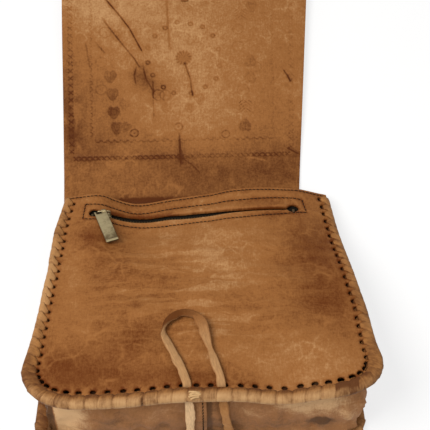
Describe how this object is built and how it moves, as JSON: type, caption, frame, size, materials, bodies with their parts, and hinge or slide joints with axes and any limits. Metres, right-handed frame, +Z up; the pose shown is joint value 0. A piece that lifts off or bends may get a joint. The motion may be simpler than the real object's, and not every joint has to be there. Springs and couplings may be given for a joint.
{
  "type": "handbag",
  "caption": "Hand-laced tan leather flap bag lying on its back with the flap open, zip pocket on the front and a thong closing loop.",
  "frame": {"origin": "middle of the back panel's outer face, which lies on the ground", "axes": "+Y from the bag's bottom edge to the open flap, +X to the right seen from the bottom edge, +Z up, out of the front panel"},
  "size_m": [0.2832, 0.5062, 0.0909],
  "materials": {
    "tan_leather": "waxed, worn",
    "lace_leather": "worn",
    "thong_leather": "suede side out",
    "dark_thread": "waxed",
    "zip_cloth": "woven",
    "antique_brass": "antiqued",
    "lining_cloth": "woven"
  },
  "bodies": {
    "bag": {"front_panel": "tan_leather", "back_panel": "tan_leather", "gusset_left": "tan_leather", "gusset_right": "tan_leather", "front_edge_lace": "lace_leather", "back_edge_lace": "lace_leather", "lace_splice": "lace_leather", "closing_loop": "thong_leather", "loop_end_left": "thong_leather", "loop_end_right": "thong_leather", "hem_thread": "dark_thread", "zip_frame_thread": "dark_thread", "gusset_thread": "dark_thread", "zip_tape_upper": "zip_cloth", "zip_tape_lower": "zip_cloth", "zip_teeth_upper": "antique_brass", "zip_teeth_lower": "antique_brass", "zip_stop_closed_end": "antique_brass", "zip_stop_open_end": "antique_brass", "pocket_lining": "lining_cloth"},
    "flap": {"flap": "tan_leather", "toggle": "tan_leather", "toggle_lace": "thong_leather"},
    "slider": {"zip_slider": "antique_brass"},
    "pull": {"zip_pull": "antique_brass"}
  },
  "joints": [
    {"name": "flap_fold", "type": "hinge", "parent": "bag", "child": "flap", "pos_m": [0, 0.124, 0.013], "axis": [1, 0, 0], "range_deg": [0, 158]},
    {"name": "zip_slide", "type": "slide", "parent": "bag", "child": "slider", "axis": [1, 0, 0], "range_m": [0, 0.156]},
    {"name": "pull_swing", "type": "hinge", "parent": "slider", "child": "pull", "pos_m": [-0.0822, 0.09037, 0.02782], "axis": [-1, 0, 0], "range_deg": [0, 174]}
  ]
}
